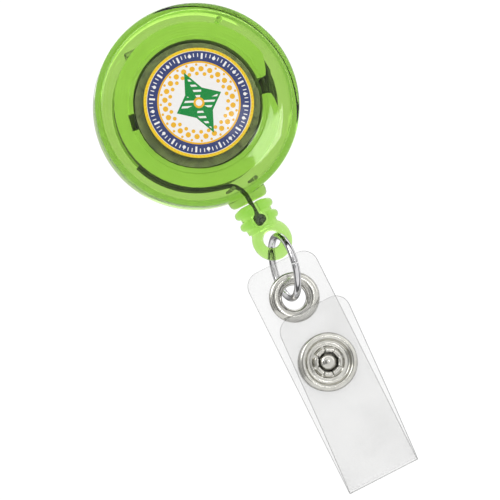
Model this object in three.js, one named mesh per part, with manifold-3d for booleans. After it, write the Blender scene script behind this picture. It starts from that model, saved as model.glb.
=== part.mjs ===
// Retractable badge reel with a slip-on belt clip and a clear snap strap.
//
// Millimetres, +Z up. The reel hangs as it is worn: its face looks along -Y, and its neck and strap
// point along -Z. The origin is in the middle of the belt gap, on the axis of the round case. Pieces
// are drawn round the middle plane of the case, and one group moves them all to their place.

import * as THREE from 'three';
import { mergeVertices } from 'three/addons/utils/BufferGeometryUtils.js';
import Module from 'manifold-3d';

const wasm = await Module();
wasm.setup();

// ---- Driving dimensions ------------------------------------------------------------------

const CASE_RADIUS = 16;
const CASE_HALF_DEPTH = 4.6;
const CASE_EDGE_RADIUS = 2;
const SHELL_WALL = 1.05;
const LABEL_RADIUS = 8.6;
const LABEL_THICKNESS = 0.25;
const BEAD_RADIUS = 10.55;
const BEAD_HEIGHT = 0.15;
const KEY_PEG = { radius: 0.5, fromCentre: 13.75, angle: 49.5 };
const GUIDE_PIN = { radius: 0.3, apart: 3.9, z: -14.2, halfLength: 3.9 };

const CHAIN_X = 0.9; // the neck and the end fitting hang this far right of the case axis
const BOSS_RADIUS = 3.2;
const BOSS_END_Z = -17.2;
const BORE_RADIUS = 0.75;
const CORD_RADIUS = 0.37;
const LEAD_TOP_Z = -16.12;

const FLANGE_RADIUS = 13;
const FLANGE_THICKNESS = 0.6;
const SPOOL_HALF_DEPTH = 3.1;
const DRUM_OUTER_RADIUS = 10.9;
const DRUM_INNER_RADIUS = 10.15;
const COIL_OUTER_RADIUS = 12.85;
const POST_RADIUS = 2.2;
const POST_SLIT = 0.5;
const DRUM_SLOT_WIDTH = 2.6;
const WINDOW_ANGLE = -10; // degrees from +X towards +Z: the bell window and the drum slot behind it
const WINDOW_STEPS = [[10.6, 6.5], [11.6, 7.2], [12, 11], [12.5, 17], [13, 22], [14.5, 24]]; // radius, half angle
const SPRING = { innerRadius: 2.6, outerRadius: 9.88, thickness: 0.22, turns: 9, packing: 0.45 };

const FITTING_TOP_Z = -17.45;
const RIB_RADIUS = 3.2;
const RIB_HALF_HEIGHT = 0.72;
const RIB_HEIGHTS = [-18.4, -20.35];
const NECK_RADIUS = 2.5;
const EYE_HALF_WIDTH = 3.05;
const EYE_SHIFT = 0.45; // the eye strays this far right of its neck
const EYE_HALF_DEPTH = 1.6;
const EYE_HOLE_Z = -23.9;
const EYE_HOLE_RADIUS = 1.35;
const EYE_BOTTOM_Z = -27.2;
const KNOT = { radius: 1.05, y: -1, z: -20.25 };

const RING_RADIUS = 5; // to the middle of the wire
const RING_WIRE_RADIUS = 0.55;
const RING_CENTRE = [0.1, -1.2, -28.65];
const RING_TURN = 11.5; // degrees about Z
const RING_SLANT = 11.5; // degrees about Y
const RING_CUT = 1.5; // degrees left open where the ends of the wire meet

const STRAP_SHIFT = -0.55; // the strap hangs this far left of the neck, as the ring leans
const STRAP_WIDTH = 12;
const STRAP_THICKNESS = 0.35;
const STRAP_TOP_Z = -27.45;
const STRAP_FOLD_Z = -64.4;
const STRAP_CORNER_RADIUS = 2.5;
const FOLD_INNER_RADIUS = 0.1;
const FOLD_CLEARANCE = 0.5; // room for the fold to turn under the back leg
const FLAP_TOP_Z = -36;
const FLAP_LEAN = 1.25; // how far the flap's top end has strayed sideways
const LEG_GAP = 1; // between the two legs of the strap at the snap
const EYELET_Z = -33.55;
const EYELET_BARREL_RADIUS = 2.3;
const SNAP_Z = -44.9;
const SNAP_RADIUS = 4.62;
const SOCKET_BARREL_RADIUS = 2.05;
const CAP_SHANK_RADIUS = 0.8;

const CLIP_WIDTH = 11;
const CLIP_THICKNESS = 0.5;
const CLIP_PAD = { radius: 3.4, height: 0.4 };
const CLIP_BEND_Z = 11;
const CLIP_BASE_END_Z = -8.5;
const BELT_GAP = 3.2;
const RIVET_RADIUS = 1;
const RIVET_END_Y = 2.9;

// ---- Gaps and facets ---------------------------------------------------------------------

const TOUCH_GAP = 0.04; // left between pieces that rest on each other
const FIT_GAP = 0.06; // left round a piece in its hole
const LARGE_FACETS = 48;
const MEDIUM_FACETS = 24;
const SMALL_FACETS = 12;
const MERGE_DISTANCE = 1e-4;
const BEYOND = 30; // past every piece that is cut with it

// ---- Places worked out from them ---------------------------------------------------------

const CLIP_BASE_Y = CASE_HALF_DEPTH + CLIP_PAD.height + TOUCH_GAP;
const CLIP_BEND_Y = CLIP_BASE_Y + CLIP_THICKNESS + BELT_GAP / 2;
const CASE_Y = -CLIP_BEND_Y;
const CAVITY_HALF_DEPTH = CASE_HALF_DEPTH - SHELL_WALL;
const CAVITY_RADIUS = CASE_RADIUS - SHELL_WALL;
const HALF_STRAP = STRAP_THICKNESS / 2;
const FOLD_Y = -(HALF_STRAP + FOLD_INNER_RADIUS);
const FLAP_Y = -(LEG_GAP + STRAP_THICKNESS); // the middle of the flap's thickness, at the snap

// ---- Geometry helpers --------------------------------------------------------------------

const radians = THREE.MathUtils.degToRad;

/** The point at a radius and an angle in degrees, round an optional centre. */
function polar(radius, degrees, centre = [0, 0]) {
  const angle = radians(degrees);
  return [centre[0] + radius * Math.cos(angle), centre[1] + radius * Math.sin(angle)];
}

/** Points of an arc from one angle to another, in degrees. */
function arc(centre, radius, from, to, steps = 5) {
  return Array.from({ length: steps + 1 }, (_, i) => polar(radius, from + (to - from) * i / steps, centre));
}

function signedVolume(positions, triangles) {
  const corners = [new THREE.Vector3(), new THREE.Vector3(), new THREE.Vector3()];
  let sum = 0;
  for (let i = 0; i < triangles.length; i += 3) {
    corners.forEach((corner, k) => corner.fromArray(positions, triangles[i + k] * 3));
    sum += corners[0].dot(corners[1].cross(corners[2]));
  }
  return sum / 6;
}

/** A closed three.js geometry as a solid whose faces point out. */
function solid(geometry) {
  geometry.deleteAttribute('normal');
  geometry.deleteAttribute('uv');
  const merged = mergeVertices(geometry, MERGE_DISTANCE);
  const vertProperties = Float32Array.from(merged.attributes.position.array);
  const triangles = [];
  for (let i = 0; i < merged.index.count; i += 3) {
    const [a, b, c] = [0, 1, 2].map((k) => merged.index.getX(i + k));
    if (a !== b && b !== c && c !== a) {
      triangles.push(a, b, c);
    }
  }
  if (signedVolume(vertProperties, triangles) < 0) {
    triangles.reverse();
  }
  const triVerts = Uint32Array.from(triangles);
  return new wasm.Manifold(new wasm.Mesh({ numProp: 3, vertProperties, triVerts }));
}

function vectors(points) {
  return points.map(([x, y]) => new THREE.Vector2(x, y));
}

/** A profile of [radius, y] points turned about Y. It starts and ends on the axis. */
function turned(profile, facets) {
  return solid(new THREE.LatheGeometry(vectors(profile), facets));
}

/** A ring's section of [radius, y] points turned about Y. It is clear of the axis. */
function turnedRing(section, facets) {
  return turned([...section, section[0]], facets);
}

/** A profile of [radius, z] points turned about Z. */
function turnedUpright(profile, facets) {
  const geometry = new THREE.LatheGeometry(vectors(profile), facets);
  geometry.rotateX(Math.PI / 2);
  return solid(geometry);
}

/** A rod along Y between two depths, round the point [x, z]. */
function rod([x, z], radius, fromY, toY, facets = SMALL_FACETS) {
  const geometry = new THREE.CylinderGeometry(radius, radius, toY - fromY, facets);
  geometry.translate(x, (fromY + toY) / 2, z);
  return solid(geometry);
}

function box(low, high) {
  const size = low.map((value, i) => high[i] - value);
  const geometry = new THREE.BoxGeometry(...size);
  geometry.translate(...low.map((value, i) => value + size[i] / 2));
  return solid(geometry);
}

/** An outline of [x, z] points carried along Y between two depths. */
function plate(outline, fromY, toY, bevel = {}) {
  const depth = toY - fromY;
  const options = { depth, bevelEnabled: false, ...bevel };
  const geometry = new THREE.ExtrudeGeometry(new THREE.Shape(vectors(outline)), options);
  geometry.rotateX(Math.PI / 2);
  geometry.translate(0, toY, 0);
  return solid(geometry);
}

/** An outline of [y, z] points carried along X, as wide as the given width. */
function strip(outline, width) {
  const options = { depth: width, bevelEnabled: false };
  const geometry = new THREE.ExtrudeGeometry(new THREE.Shape(vectors(outline)), options);
  const axes = [new THREE.Vector3(0, 1, 0), new THREE.Vector3(0, 0, 1), new THREE.Vector3(1, 0, 0)];
  geometry.applyMatrix4(new THREE.Matrix4().makeBasis(...axes));
  geometry.translate(-width / 2, 0, 0);
  return solid(geometry);
}

/** The outline of a bent band: a middle line of points, given a thickness. */
function band(line, thickness) {
  const left = [];
  const right = [];
  line.forEach((point, i) => {
    const here = new THREE.Vector2(...point);
    const back = new THREE.Vector2(...line[Math.max(i - 1, 0)]);
    const next = new THREE.Vector2(...line[Math.min(i + 1, line.length - 1)]);
    const arriving = here.clone().sub(i > 0 ? back : next).multiplyScalar(i > 0 ? 1 : -1).normalize();
    const leaving = next.clone().sub(i < line.length - 1 ? here : back).normalize();
    const along = arriving.clone().add(leaving).normalize();
    const reach = thickness / 2 / along.dot(leaving);
    left.push([here.x - along.y * reach, here.y + along.x * reach]);
    right.unshift([here.x + along.y * reach, here.y - along.x * reach]);
  });
  return [...left, ...right];
}

/** A round section carried along a curve. */
function wire(curve, radius, sides, steps) {
  const section = new THREE.Shape(vectors(arc([0, 0], radius, 0, 360 - 360 / sides, sides - 1)));
  return solid(new THREE.ExtrudeGeometry(section, { steps, extrudePath: curve, bevelEnabled: false }));
}

/** A named mesh of a solid, with its own material. */
function piece(name, body, [color, roughness, metalness = 0, opacity = 1]) {
  const { vertProperties, triVerts, numProp } = body.getMesh();
  const geometry = new THREE.BufferGeometry();
  const positions = new THREE.InterleavedBuffer(vertProperties, numProp);
  geometry.setAttribute('position', new THREE.InterleavedBufferAttribute(positions, 3, 0));
  geometry.setIndex(new THREE.BufferAttribute(triVerts, 1));
  const transparent = opacity < 1;
  const material = new THREE.MeshStandardMaterial({ color, roughness, metalness, opacity, transparent });
  const mesh = new THREE.Mesh(geometry, material);
  mesh.name = name;
  return mesh;
}

// ---- Finishes: colour, roughness, metalness, opacity --------------------------------------

const LIME_SHELL = [0x9bdc50, 0.12, 0, 0.55];
const LIME_SPOOL = [0x8fd44a, 0.3];
const PRINTED_LABEL = [0xf4f4f0, 0.4];
const SPRING_STEEL = [0x6b6f68, 0.4, 0.9];
const DARK_CORD = [0x3c3f3a, 0.8];
const CHROME = [0xd8d8d8, 0.08, 1];
const WARM_NICKEL = [0xc9c7ba, 0.2, 1];
const CLEAR_VINYL = [0xf2f4f4, 0.08, 0, 0.3];
const CLIP_STEEL = [0xc4c6c8, 0.25, 1];

// ---- Case: two lime shells, split at the middle plane --------------------------------------

/** Half of a rounded drum's profile, from the axis to the rim, at one end of its depth. */
function drumProfile(radius, halfDepth, edgeRadius) {
  const corner = [radius - edgeRadius, halfDepth - edgeRadius];
  const edge = arc(corner, edgeRadius, 0, 90);
  const front = edge.map(([r, y]) => [r, -y]).reverse();
  return [[0, -halfDepth], ...front, ...edge, [0, halfDepth]];
}

function caseWalls() {
  const outside = turned(drumProfile(CASE_RADIUS, CASE_HALF_DEPTH, CASE_EDGE_RADIUS), LARGE_FACETS);
  const cavityEdge = CASE_EDGE_RADIUS - SHELL_WALL;
  const cavity = turned(drumProfile(CAVITY_RADIUS, CAVITY_HALF_DEPTH, cavityEdge), LARGE_FACETS);
  const bossProfile = [
    [0, BOSS_END_Z],
    [BOSS_RADIUS - 0.6, BOSS_END_Z],
    [BOSS_RADIUS - 0.2, BOSS_END_Z + 0.3],
    [BOSS_RADIUS, BOSS_END_Z + 1],
    [BOSS_RADIUS, -(CAVITY_RADIUS - 1)],
    [0, -(CAVITY_RADIUS - 1)],
  ];
  const boreProfile = [
    [0, BOSS_END_Z - 0.1],
    [1.25, BOSS_END_Z - 0.1],
    [BORE_RADIUS, BOSS_END_Z + 0.7],
    [BORE_RADIUS, BOSS_END_Z + 1.6],
    [1.8, -(CAVITY_RADIUS - 1)],
    [0, -(CAVITY_RADIUS - 1)],
  ];
  const boss = turnedUpright(bossProfile, MEDIUM_FACETS).translate([CHAIN_X, 0, 0]);
  const bore = turnedUpright(boreProfile, SMALL_FACETS).translate([CHAIN_X, 0, 0]);
  let walls = outside.add(boss).subtract(cavity).subtract(bore);
  for (const place of guidePinPlaces()) {
    walls = walls.subtract(rod(place, GUIDE_PIN.radius + FIT_GAP, -GUIDE_PIN.halfLength - FIT_GAP,
      GUIDE_PIN.halfLength + FIT_GAP));
  }
  return walls;
}

function guidePinPlaces() {
  return [-1, 1].map((side) => [CHAIN_X + side * GUIDE_PIN.apart / 2, GUIDE_PIN.z]);
}

function frontShell(walls) {
  const half = box([-BEYOND, -BEYOND, -BEYOND], [BEYOND, -TOUCH_GAP / 2, BEYOND]);
  const bead = turnedRing([
    [BEAD_RADIUS - 0.35, -CASE_HALF_DEPTH + BEAD_HEIGHT],
    [BEAD_RADIUS - 0.35, -CASE_HALF_DEPTH],
    [BEAD_RADIUS - 0.15, -CASE_HALF_DEPTH - BEAD_HEIGHT],
    [BEAD_RADIUS + 0.15, -CASE_HALF_DEPTH - BEAD_HEIGHT],
    [BEAD_RADIUS + 0.35, -CASE_HALF_DEPTH],
    [BEAD_RADIUS + 0.35, -CASE_HALF_DEPTH + BEAD_HEIGHT],
  ], LARGE_FACETS);
  const pegPlace = polar(KEY_PEG.fromCentre, KEY_PEG.angle);
  const peg = rod(pegPlace, KEY_PEG.radius, -CAVITY_HALF_DEPTH - 0.2, -0.2);
  return walls.intersect(half).add(bead).add(peg);
}

function backShell(walls) {
  const half = box([-BEYOND, TOUCH_GAP / 2, -BEYOND], [BEYOND, BEYOND, BEYOND]);
  const pad = rod([0, 0], CLIP_PAD.radius, CAVITY_HALF_DEPTH, CASE_HALF_DEPTH + CLIP_PAD.height, MEDIUM_FACETS);
  const post = rod([0, 0], POST_RADIUS, -CAVITY_HALF_DEPTH + 0.2, CAVITY_HALF_DEPTH + 0.1, MEDIUM_FACETS);
  const slit = box([-POST_RADIUS, -CASE_HALF_DEPTH, -POST_SLIT / 2], [POST_RADIUS, 2, POST_SLIT / 2]);
  const rivetBore = rod([0, 0], RIVET_RADIUS + FIT_GAP, RIVET_END_Y - FIT_GAP, BEYOND);
  return walls.intersect(half).add(pad).add(post.subtract(slit)).subtract(rivetBore);
}

// ---- Spool, mainspring and cord ------------------------------------------------------------

function spool() {
  const groove = SPOOL_HALF_DEPTH - FLANGE_THICKNESS;
  const walls = turnedRing([
    [POST_RADIUS + 0.2, SPOOL_HALF_DEPTH + 0.3],
    [3.6, SPOOL_HALF_DEPTH + 0.3],
    [3.6, SPOOL_HALF_DEPTH],
    [FLANGE_RADIUS, SPOOL_HALF_DEPTH],
    [FLANGE_RADIUS, groove],
    [DRUM_OUTER_RADIUS, groove],
    [DRUM_OUTER_RADIUS, -groove],
    [FLANGE_RADIUS, -groove],
    [FLANGE_RADIUS, -SPOOL_HALF_DEPTH],
    [DRUM_OUTER_RADIUS, -SPOOL_HALF_DEPTH],
    [DRUM_OUTER_RADIUS - 0.1, -SPOOL_HALF_DEPTH - 0.2],
    [DRUM_INNER_RADIUS, -SPOOL_HALF_DEPTH - 0.2],
    [DRUM_INNER_RADIUS, groove - 0.1],
    [POST_RADIUS + 0.2, groove - 0.1],
  ], LARGE_FACETS);
  const sides = WINDOW_STEPS.map(([radius, half]) => [radius, WINDOW_ANGLE - half]);
  const otherSides = WINDOW_STEPS.map(([radius, half]) => [radius, WINDOW_ANGLE + half]).reverse();
  const windowOutline = [...sides, ...otherSides].map(([radius, angle]) => polar(radius, angle));
  const window = plate(windowOutline, -SPOOL_HALF_DEPTH - 0.1, -groove + 0.1);
  const half = DRUM_SLOT_WIDTH / 2;
  const slotReach = DRUM_OUTER_RADIUS + 0.05;
  const slots = box([-slotReach, -CASE_HALF_DEPTH, -half], [slotReach, groove - 0.15, half]).rotate([0, -WINDOW_ANGLE, 0]);
  return walls.subtract(window).subtract(slots);
}

function mainspring() {
  const stepsPerTurn = 22;
  const steps = SPRING.turns * stepsPerTurn;
  const growth = SPRING.outerRadius - SPRING.innerRadius;
  const line = Array.from({ length: steps + 1 }, (_, i) => polar(
    SPRING.innerRadius + growth * (i / steps) ** SPRING.packing,
    WINDOW_ANGLE - 360 * (steps - i) / stepsPerTurn,
  ));
  line.push(polar(DRUM_INNER_RADIUS + 0.55, WINDOW_ANGLE + 3));
  return plate(band(line, SPRING.thickness), -2.4, 2.2);
}

function cordCoil() {
  const outer = COIL_OUTER_RADIUS;
  const inner = DRUM_OUTER_RADIUS + FIT_GAP;
  return turnedRing([
    [inner, -2.4], [outer - 0.4, -2.4], [outer, -1.9], [outer, 1.9], [outer - 0.4, 2.4], [inner, 2.4],
  ], LARGE_FACETS);
}

/** The cord comes off the coil, passes over the left guide pin and turns down into the bore. */
function cordRun() {
  const layRadius = COIL_OUTER_RADIUS + CORD_RADIUS + FIT_GAP;
  const onCoil = arc([0, 0], layRadius, -160, -104, 8);
  const toBore = [[-2, -13.2], [-0.87, -13.47], [-0.08, -14.02], [0.45, -14.85], [0.83, -15.6], [CHAIN_X, -16.08]];
  const points = [...onCoil, ...toBore].map(([x, z]) => new THREE.Vector3(x, 0, z));
  return wire(new THREE.CatmullRomCurve3(points), CORD_RADIUS, 8, 26);
}

/** The last of the cord, from the bore to its knot. */
function cordLead() {
  const top = new THREE.Vector3(0, 0, LEAD_TOP_Z);
  const knot = new THREE.Vector3(0, KNOT.y, KNOT.z);
  const length = top.distanceTo(knot) - KNOT.radius - TOUCH_GAP;
  const bottom = top.clone().addScaledVector(knot.clone().sub(top).normalize(), length);
  return wire(new THREE.LineCurve3(top, bottom), CORD_RADIUS, 8, 3);
}

function cordKnot() {
  const geometry = new THREE.SphereGeometry(KNOT.radius, SMALL_FACETS, 10);
  geometry.translate(0, KNOT.y, KNOT.z);
  return solid(geometry);
}

// ---- End fitting: two ribs over an egg-shaped eye ------------------------------------------

function endFitting() {
  const ribs = RIB_HEIGHTS.flatMap((z) => [
    [NECK_RADIUS, z + RIB_HALF_HEIGHT + 0.1],
    [RIB_RADIUS - 0.35, z + RIB_HALF_HEIGHT],
    [RIB_RADIUS, z + RIB_HALF_HEIGHT * 0.45],
    [RIB_RADIUS, z - RIB_HALF_HEIGHT * 0.45],
    [RIB_RADIUS - 0.35, z - RIB_HALF_HEIGHT],
    [NECK_RADIUS, z - RIB_HALF_HEIGHT - 0.1],
  ]);
  const stemEnd = EYE_HOLE_Z + 1.4;
  const profile = [[0, FITTING_TOP_Z], [2, FITTING_TOP_Z], [2.15, FITTING_TOP_Z - 0.1], ...ribs,
    [NECK_RADIUS - 0.2, stemEnd], [0, stemEnd]];
  const stem = turnedUpright(profile, MEDIUM_FACETS);
  const shoulder = [NECK_RADIUS - 0.1, RIB_HEIGHTS[1] - 0.9];
  const middleZ = EYE_HOLE_Z - 0.1;
  const lowerHeight = middleZ - EYE_BOTTOM_Z;
  const lower = Array.from({ length: 17 }, (_, i) => {
    const [across, down] = polar(1, -180 * i / 16);
    return [across * EYE_HALF_WIDTH, middleZ + down * lowerHeight];
  });
  const outline = [[-shoulder[0], shoulder[1]], [shoulder[0], shoulder[1]],
    [EYE_HALF_WIDTH - 0.18, middleZ + 1.3], ...lower, [-EYE_HALF_WIDTH + 0.18, middleZ + 1.3]];
  const bevel = { bevelEnabled: true, bevelThickness: 0.6, bevelSize: 0.5, bevelOffset: -0.5, bevelSegments: 2 };
  const eye = plate(outline, -EYE_HALF_DEPTH + 0.6, EYE_HALF_DEPTH - 0.6, bevel).translate([EYE_SHIFT, 0, 0]);
  const flare = EYE_HALF_DEPTH + 0.2;
  const hole = turned([[0, -flare], [EYE_HOLE_RADIUS + 0.9, -flare], [EYE_HOLE_RADIUS + 0.35, -1],
    [EYE_HOLE_RADIUS + 0.1, -0.6], [EYE_HOLE_RADIUS, -0.2], [EYE_HOLE_RADIUS, 0.2],
    [EYE_HOLE_RADIUS + 0.1, 0.6], [EYE_HOLE_RADIUS + 0.35, 1], [EYE_HOLE_RADIUS + 0.9, flare], [0, flare]],
  MEDIUM_FACETS).translate([EYE_SHIFT, 0, EYE_HOLE_Z]);
  const slotHalfWidth = CORD_RADIUS + 0.13;
  const slot = box([-slotHalfWidth, -BEYOND, KNOT.z], [slotHalfWidth, 0.2, BEYOND]);
  const pocket = rod([0, KNOT.z], KNOT.radius + 0.15, -BEYOND, KNOT.y + KNOT.radius + FIT_GAP);
  return stem.add(eye).subtract(hole).subtract(slot).subtract(pocket);
}

// ---- Link ring -----------------------------------------------------------------------------

/** A full turn of wire in the YZ plane, open by a hair at its front, where its cut ends meet. */
class RingCurve extends THREE.Curve {
  getPoint(t, target = new THREE.Vector3()) {
    const [y, z] = polar(RING_RADIUS, 180 + RING_CUT / 2 + (360 - RING_CUT) * t);
    return target.set(0, y, z);
  }
}

function linkRing() {
  return wire(new RingCurve(), RING_WIRE_RADIUS, 10, 40)
    .rotate([0, 0, RING_TURN])
    .rotate([0, RING_SLANT, 0])
    .translate(RING_CENTRE);
}

// ---- Clear vinyl strap ---------------------------------------------------------------------

/** A leg's outline with a round-cornered top that may stray sideways. */
function legOutline(bottomZ, topZ, lean = 0) {
  const half = STRAP_WIDTH / 2;
  const centre = half - STRAP_CORNER_RADIUS;
  const right = arc([lean + centre, topZ - STRAP_CORNER_RADIUS], STRAP_CORNER_RADIUS, 0, 90, 4);
  const left = arc([lean - centre, topZ - STRAP_CORNER_RADIUS], STRAP_CORNER_RADIUS, 90, 180, 4);
  return [[-half, bottomZ], [half, bottomZ], ...right, ...left];
}

function strapBack() {
  return plate(legOutline(STRAP_FOLD_Z + FOLD_CLEARANCE, STRAP_TOP_Z), -HALF_STRAP, HALF_STRAP)
    .subtract(rod([0, EYELET_Z], EYELET_BARREL_RADIUS + FIT_GAP, -1, 1, MEDIUM_FACETS))
    .subtract(rod([0, SNAP_Z], CAP_SHANK_RADIUS + FIT_GAP, -1, 1));
}

/** The fold and the leg that comes up from it in front of the other. */
function strapFlap() {
  const foldLineRadius = FOLD_INNER_RADIUS + HALF_STRAP;
  const line = [
    ...arc([FOLD_Y, STRAP_FOLD_Z], foldLineRadius, 0, -180, 6),
    [FOLD_Y - foldLineRadius, STRAP_FOLD_Z + 1],
    [(FOLD_Y - foldLineRadius + FLAP_Y) / 2, STRAP_FOLD_Z + 6],
    [FLAP_Y, STRAP_FOLD_Z + 11],
    [FLAP_Y, FLAP_TOP_Z],
  ];
  const outline = legOutline(STRAP_FOLD_Z - 1, FLAP_TOP_Z, FLAP_LEAN);
  return strip(band(line, STRAP_THICKNESS), STRAP_WIDTH * 2)
    .intersect(plate(outline, -BEYOND, BEYOND))
    .subtract(rod([0, SNAP_Z], SOCKET_BARREL_RADIUS + FIT_GAP, -BEYOND, 0, MEDIUM_FACETS));
}

// ---- Eyelet and snap -----------------------------------------------------------------------

function eyelet() {
  const front = -HALF_STRAP - TOUCH_GAP;
  return turnedRing([
    [3.7, front], [3.95, front - 0.1], [4, front - 0.3], [3.75, front - 0.6], [3.2, front - 0.76],
    [2.6, front - 0.73], [2.15, front - 0.43], [1.9, 0], [1.9, 0.25], [2.1, 0.62], [2.5, 0.86],
    [2.85, 0.86], [2.95, 0.66], [EYELET_BARREL_RADIUS, 0.66], [EYELET_BARREL_RADIUS, front],
  ], MEDIUM_FACETS).translate([0, 0, EYELET_Z]);
}

function eyeletWasher() {
  const back = HALF_STRAP + TOUCH_GAP;
  const inner = EYELET_BARREL_RADIUS + FIT_GAP;
  return turnedRing([[inner, back], [3.7, back], [3.7, back + 0.2], [3.45, 0.62], [inner, 0.62]], MEDIUM_FACETS)
    .translate([0, 0, EYELET_Z]);
}

/** The ring on the flap's face, its barrel through the flap, and its ring of small curled prongs. */
function snapSocket() {
  const face = FLAP_Y - HALF_STRAP - TOUCH_GAP;
  const back = FLAP_Y + HALF_STRAP + TOUCH_GAP;
  return turnedRing([
    [SNAP_RADIUS - 0.2, face], [SNAP_RADIUS, face - 0.25], [SNAP_RADIUS, face - 0.55],
    [SNAP_RADIUS - 0.3, face - 0.95], [SNAP_RADIUS - 0.7, face - 1.05], [3.55, face - 0.85],
    [3.4, face - 0.3], [2.4, face - 0.3], [2.25, face - 0.75], [2, face - 0.9], [1.72, face - 0.75],
    [1.72, back], [SOCKET_BARREL_RADIUS, back], [SOCKET_BARREL_RADIUS, face],
  ], MEDIUM_FACETS).translate([0, 0, SNAP_Z]);
}

/** The ring that backs the socket, between the two legs. */
function snapBacking() {
  const near = FLAP_Y + HALF_STRAP + TOUCH_GAP;
  const inner = SOCKET_BARREL_RADIUS + FIT_GAP;
  return turnedRing([[inner, near], [4.2, near], [4.3, near + 0.15], [4.15, near + 0.4], [inner, near + 0.4]],
    MEDIUM_FACETS).translate([0, 0, SNAP_Z]);
}

/** The stud on the back leg, with the bulb that the socket grips. */
function snapStud() {
  const seat = -HALF_STRAP - TOUCH_GAP;
  const tip = FLAP_Y - HALF_STRAP - 1;
  return turned([
    [0, seat], [3.9, seat], [4, seat - 0.15], [3.8, seat - 0.4], [1.5, seat - 0.42], [1.42, -1.2],
    [1.6, -1.75], [1.6, -2], [1.3, tip + 0.2], [0.7, tip + 0.03], [0, tip],
  ], MEDIUM_FACETS).translate([0, 0, SNAP_Z]);
}

/** The cap behind the back leg, with its shank through the leg. */
function snapCap() {
  const seat = HALF_STRAP + TOUCH_GAP;
  return turned([
    [0, -HALF_STRAP], [CAP_SHANK_RADIUS, -HALF_STRAP], [CAP_SHANK_RADIUS, seat], [4.3, seat],
    [SNAP_RADIUS - 0.1, seat + 0.15], [4.3, seat + 0.5], [3.2, seat + 0.8], [0, seat + 0.95],
  ], MEDIUM_FACETS).translate([0, 0, SNAP_Z]);
}

// ---- Belt clip -----------------------------------------------------------------------------

const CLIP_BEND_RADIUS = (BELT_GAP + CLIP_THICKNESS) / 2;

function clipOutline(bottomZ, cornerRadius) {
  const half = CLIP_WIDTH / 2;
  const centre = half - cornerRadius;
  return [
    [half, BEYOND], [-half, BEYOND],
    ...arc([-centre, bottomZ + cornerRadius], cornerRadius, 180, 270, 4),
    ...arc([centre, bottomZ + cornerRadius], cornerRadius, 270, 360, 4),
  ];
}

function clipBase() {
  const middle = CLIP_BASE_Y + CLIP_THICKNESS / 2;
  const bend = arc([CLIP_BEND_Y, CLIP_BEND_Z], CLIP_BEND_RADIUS, 180, 125, 4);
  return strip(band([[middle, CLIP_BASE_END_Z], ...bend], CLIP_THICKNESS), CLIP_WIDTH)
    .intersect(plate(clipOutline(CLIP_BASE_END_Z, 2), -BEYOND, BEYOND))
    .subtract(rod([0, 0], RIVET_RADIUS + FIT_GAP, 0, BEYOND));
}

/** The springy leg behind the belt. It dips towards the base to grip, and flares at its tip. */
function clipTongue() {
  const middle = CLIP_BEND_Y + CLIP_BEND_RADIUS;
  const bend = arc([CLIP_BEND_Y, CLIP_BEND_Z], CLIP_BEND_RADIUS, 105, 0, 7);
  const line = [...bend, [middle, -4], [middle - 0.45, -6.3], [middle - 0.85, -7.8], [middle - 0.85, -8.8],
    [middle - 0.3, -10], [middle + 0.7, -11.8]];
  return strip(band(line, CLIP_THICKNESS), CLIP_WIDTH)
    .intersect(plate(clipOutline(-12.2, 3.5), -BEYOND, BEYOND));
}

function clipRivet() {
  const seat = CLIP_BASE_Y + CLIP_THICKNESS + TOUCH_GAP;
  return turned([[0, RIVET_END_Y], [RIVET_RADIUS, RIVET_END_Y], [RIVET_RADIUS, seat], [2.1, seat],
    [2.1, seat + 0.15], [1.6, seat + 0.4], [0, seat + 0.5]], SMALL_FACETS);
}

// ---- Assembly ------------------------------------------------------------------------------

const walls = caseWalls();
const [leftPin, rightPin] = guidePinPlaces().map((place) => rod(
  place, GUIDE_PIN.radius, -GUIDE_PIN.halfLength, GUIDE_PIN.halfLength, 12,
));
const label = rod([0, 0], LABEL_RADIUS, -CASE_HALF_DEPTH - TOUCH_GAP - LABEL_THICKNESS,
  -CASE_HALF_DEPTH - TOUCH_GAP, LARGE_FACETS);

const strap = new THREE.Group();
strap.position.set(STRAP_SHIFT, 0, 0);
strap.add(
  piece('strap_back', strapBack(), CLEAR_VINYL),
  piece('strap_flap', strapFlap(), CLEAR_VINYL),
  piece('eyelet', eyelet(), WARM_NICKEL),
  piece('eyelet_washer', eyeletWasher(), WARM_NICKEL),
  piece('snap_socket', snapSocket(), WARM_NICKEL),
  piece('snap_backing', snapBacking(), WARM_NICKEL),
  piece('snap_stud', snapStud(), WARM_NICKEL),
  piece('snap_cap', snapCap(), WARM_NICKEL),
);

const chain = new THREE.Group();
chain.position.set(CHAIN_X, 0, 0);
chain.add(
  piece('cord_lead', cordLead(), DARK_CORD),
  piece('cord_knot', cordKnot(), DARK_CORD),
  piece('end_fitting', endFitting(), LIME_SPOOL),
  piece('link_ring', linkRing(), CHROME),
  strap,
);

const badgeReel = new THREE.Group();
badgeReel.position.set(0, CASE_Y, 0);
badgeReel.add(
  piece('front_shell', frontShell(walls), LIME_SHELL),
  piece('back_shell', backShell(walls), LIME_SHELL),
  piece('label_disc', label, PRINTED_LABEL),
  piece('guide_pin_left', leftPin, SPRING_STEEL),
  piece('guide_pin_right', rightPin, SPRING_STEEL),
  piece('spool', spool(), LIME_SPOOL),
  piece('mainspring', mainspring(), SPRING_STEEL),
  piece('cord_coil', cordCoil(), DARK_CORD),
  piece('cord_run', cordRun(), DARK_CORD),
  piece('clip_base', clipBase(), CLIP_STEEL),
  piece('clip_tongue', clipTongue(), CLIP_STEEL),
  piece('clip_rivet', clipRivet(), CLIP_STEEL),
  chain,
);

export default badgeReel;
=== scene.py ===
"""Retractable badge reel: its visible pieces, their finishes, the studio and the camera.

Shapes are written in millimetres round the middle of the reel's case, and made in metres in the
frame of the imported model. Round pieces are turned from a profile of [radius, along] points.
"""

import math

import bmesh
import bpy
from mathutils import Matrix, Vector


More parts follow.
